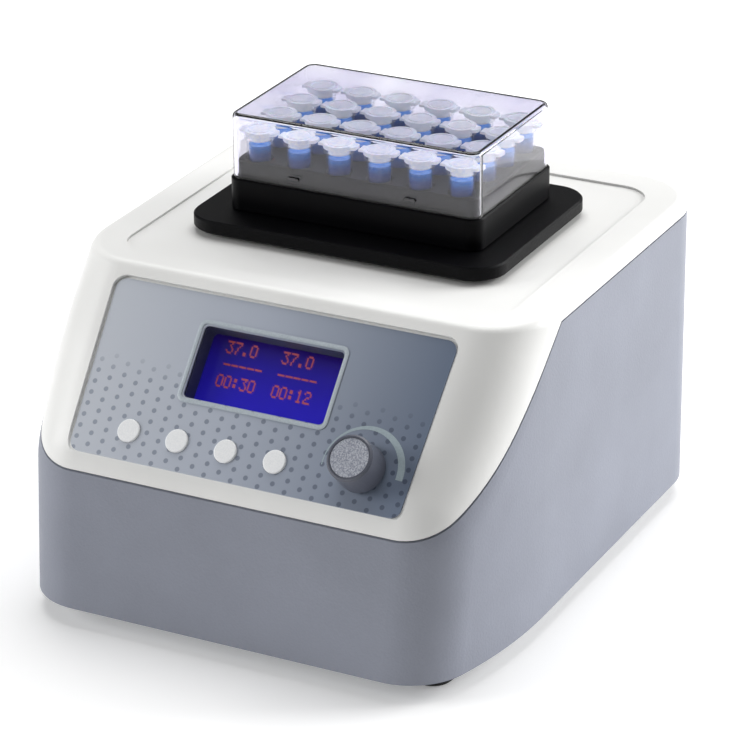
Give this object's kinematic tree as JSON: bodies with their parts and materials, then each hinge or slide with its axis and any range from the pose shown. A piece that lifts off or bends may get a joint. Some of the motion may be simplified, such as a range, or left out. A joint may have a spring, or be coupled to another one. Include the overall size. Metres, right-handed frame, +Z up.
{
  "type": "thermal mixer",
  "caption": "Benchtop thermal mixer: a heated, orbiting tube block under a lift-off clear lid, on a two-part case with a sloping control panel.",
  "frame": {"origin": "on the bench, under the middle of the whole object", "axes": "+X to the right seen from the control panel, +Y to the back of the case, +Z up"},
  "size_m": [0.204, 0.238, 0.1815],
  "materials": {
    "white_shell": "fine moulded texture",
    "grey_shell": "fine moulded texture",
    "plated_steel": "zinc plated",
    "rubber": "moulded",
    "screw_steel": "machined",
    "black_anodised": "black anodised, fine blasted",
    "tube_plastic": "clear moulded",
    "blue_liquid": "dyed liquid",
    "cap_plastic": "translucent moulded",
    "clear_acrylic": "clear",
    "aluminium": "machined",
    "ceramic": "ceramic",
    "foam": "closed-cell foam",
    "bearing_steel": "ground",
    "shaft_steel": "ground",
    "motor_housing": "satin",
    "panel_film": "printed film",
    "dark_plastic": "moulded",
    "display_glass": "lit display",
    "board_green": "circuit board",
    "key_white": "satin",
    "knob_grey": "satin",
    "contact_brass": "plated",
    "port_steel": "plated"
  },
  "bodies": {
    "case": {"top_cover": "white_shell", "base_shell": "grey_shell", "bottom_plate": "plated_steel", "back_panel": "plated_steel", "deck_pillars": "plated_steel", "board_standoffs": "plated_steel", "display_frame": "plated_steel", "power_supply": "plated_steel", "rubber_feet": "rubber", "foot_screws": "screw_steel", "case_screws": "screw_steel", "deck_screws": "screw_steel", "front_board_screws": "screw_steel", "display_window": "clear_acrylic", "deck_plate": "aluminium", "deck_bearings": "bearing_steel", "drive_motor": "motor_housing", "control_overlay": "panel_film", "display_bezel": "dark_plastic", "key_switches": "dark_plastic", "encoder_body": "dark_plastic", "mains_inlet": "dark_plastic", "switch_housing": "dark_plastic", "fan_frame": "dark_plastic", "board_components": "dark_plastic", "display_glass": "display_glass", "front_board": "board_green", "main_board": "board_green", "inlet_pins": "contact_brass", "data_port": "port_steel"},
    "platform": {"orbit_plate": "aluminium", "orbit_bearings": "bearing_steel", "platform_screws": "screw_steel", "heat_sink": "aluminium", "insulator_frame": "foam", "peltier_modules": "ceramic", "contact_plate": "aluminium", "platform_flange": "black_anodised", "tube_block": "black_anodised", "tube_bodies": "tube_plastic", "tube_filling": "blue_liquid", "tube_caps": "cap_plastic"},
    "crank": {"crank_shaft": "shaft_steel", "counterweight": "plated_steel"},
    "front_left_crank": {"front_left_idler": "shaft_steel"},
    "front_right_crank": {"front_right_idler": "shaft_steel"},
    "rear_left_crank": {"rear_left_idler": "shaft_steel"},
    "rear_right_crank": {"rear_right_idler": "shaft_steel"},
    "lid": {"clear_lid": "clear_acrylic"},
    "program": {"program_key": "key_white"},
    "temperature": {"temperature_key": "key_white"},
    "time": {"time_key": "key_white"},
    "speed": {"speed_key": "key_white"},
    "knob_push": {"encoder_plunger": "dark_plastic"},
    "knob": {"encoder_shaft": "shaft_steel", "control_knob": "knob_grey", "knob_insert": "knob_grey"},
    "fan": {"fan_rotor": "dark_plastic"},
    "rocker": {"switch_rocker": "dark_plastic"},
    "drawer": {"fuse_drawer": "dark_plastic"}
  },
  "joints": [
    {"name": "crank_spin", "type": "hinge", "parent": "case", "child": "crank", "pos_m": [0, 0.0269, 0.0714], "axis": [0, 0, 1], "continuous": true},
    {"name": "platform_orbit", "type": "hinge", "parent": "crank", "child": "platform", "pos_m": [0, 0.0284, 0.091], "axis": [0, 0, 1], "continuous": true},
    {"name": "front_left_idler_spin", "type": "hinge", "parent": "case", "child": "front_left_crank", "pos_m": [-0.039, 0.0009, 0.0714], "axis": [0, 0, 1], "continuous": true},
    {"name": "front_right_idler_spin", "type": "hinge", "parent": "case", "child": "front_right_crank", "pos_m": [0.039, 0.0009, 0.0714], "axis": [0, 0, 1], "continuous": true},
    {"name": "rear_left_idler_spin", "type": "hinge", "parent": "case", "child": "rear_left_crank", "pos_m": [-0.039, 0.0529, 0.0714], "axis": [0, 0, 1], "continuous": true},
    {"name": "rear_right_idler_spin", "type": "hinge", "parent": "case", "child": "rear_right_crank", "pos_m": [0.039, 0.0529, 0.0714], "axis": [0, 0, 1], "continuous": true},
    {"name": "lid_lift", "type": "slide", "parent": "platform", "child": "lid", "axis": [0, 0, 1], "range_m": [0, 0.06]},
    {"name": "program_press", "type": "slide", "parent": "case", "child": "program", "axis": [0, 0.7513, -0.66], "range_m": [0, 0.0005], "stiffness_N_per_m": 600, "springref_m": -0.0005},
    {"name": "temperature_press", "type": "slide", "parent": "case", "child": "temperature", "axis": [0, 0.7513, -0.66], "range_m": [0, 0.0005], "stiffness_N_per_m": 600, "springref_m": -0.0005},
    {"name": "time_press", "type": "slide", "parent": "case", "child": "time", "axis": [0, 0.7513, -0.66], "range_m": [0, 0.0005], "stiffness_N_per_m": 600, "springref_m": -0.0005},
    {"name": "speed_press", "type": "slide", "parent": "case", "child": "speed", "axis": [0, 0.7513, -0.66], "range_m": [0, 0.0005], "stiffness_N_per_m": 600, "springref_m": -0.0005},
    {"name": "knob_press", "type": "slide", "parent": "case", "child": "knob_push", "axis": [0, 0.7513, -0.66], "range_m": [0, 0.0006], "stiffness_N_per_m": 900, "springref_m": -0.0006},
    {"name": "knob_turn", "type": "hinge", "parent": "knob_push", "child": "knob", "pos_m": [0.0519, -0.10065, 0.08682], "axis": [0, -0.7513, 0.66], "continuous": true},
    {"name": "fan_spin", "type": "hinge", "parent": "case", "child": "fan", "pos_m": [0, 0.109, 0.0955], "axis": [0, 1, 0], "continuous": true},
    {"name": "switch_rock", "type": "hinge", "parent": "case", "child": "rocker", "pos_m": [-0.008, 0.109, 0.0385], "axis": [1, 0, 0], "range_deg": [-10, 10]},
    {"name": "fuse_drawer_pull", "type": "slide", "parent": "case", "child": "drawer", "axis": [0, 1, 0], "range_m": [0, 0.02]}
  ],
  "couplings": [
    {"joint": "crank_spin", "follows": "platform_orbit", "ratio": -1},
    {"joint": "front_left_idler_spin", "follows": "platform_orbit", "ratio": -1},
    {"joint": "front_right_idler_spin", "follows": "platform_orbit", "ratio": -1},
    {"joint": "rear_left_idler_spin", "follows": "platform_orbit", "ratio": -1},
    {"joint": "rear_right_idler_spin", "follows": "platform_orbit", "ratio": -1}
  ]
}
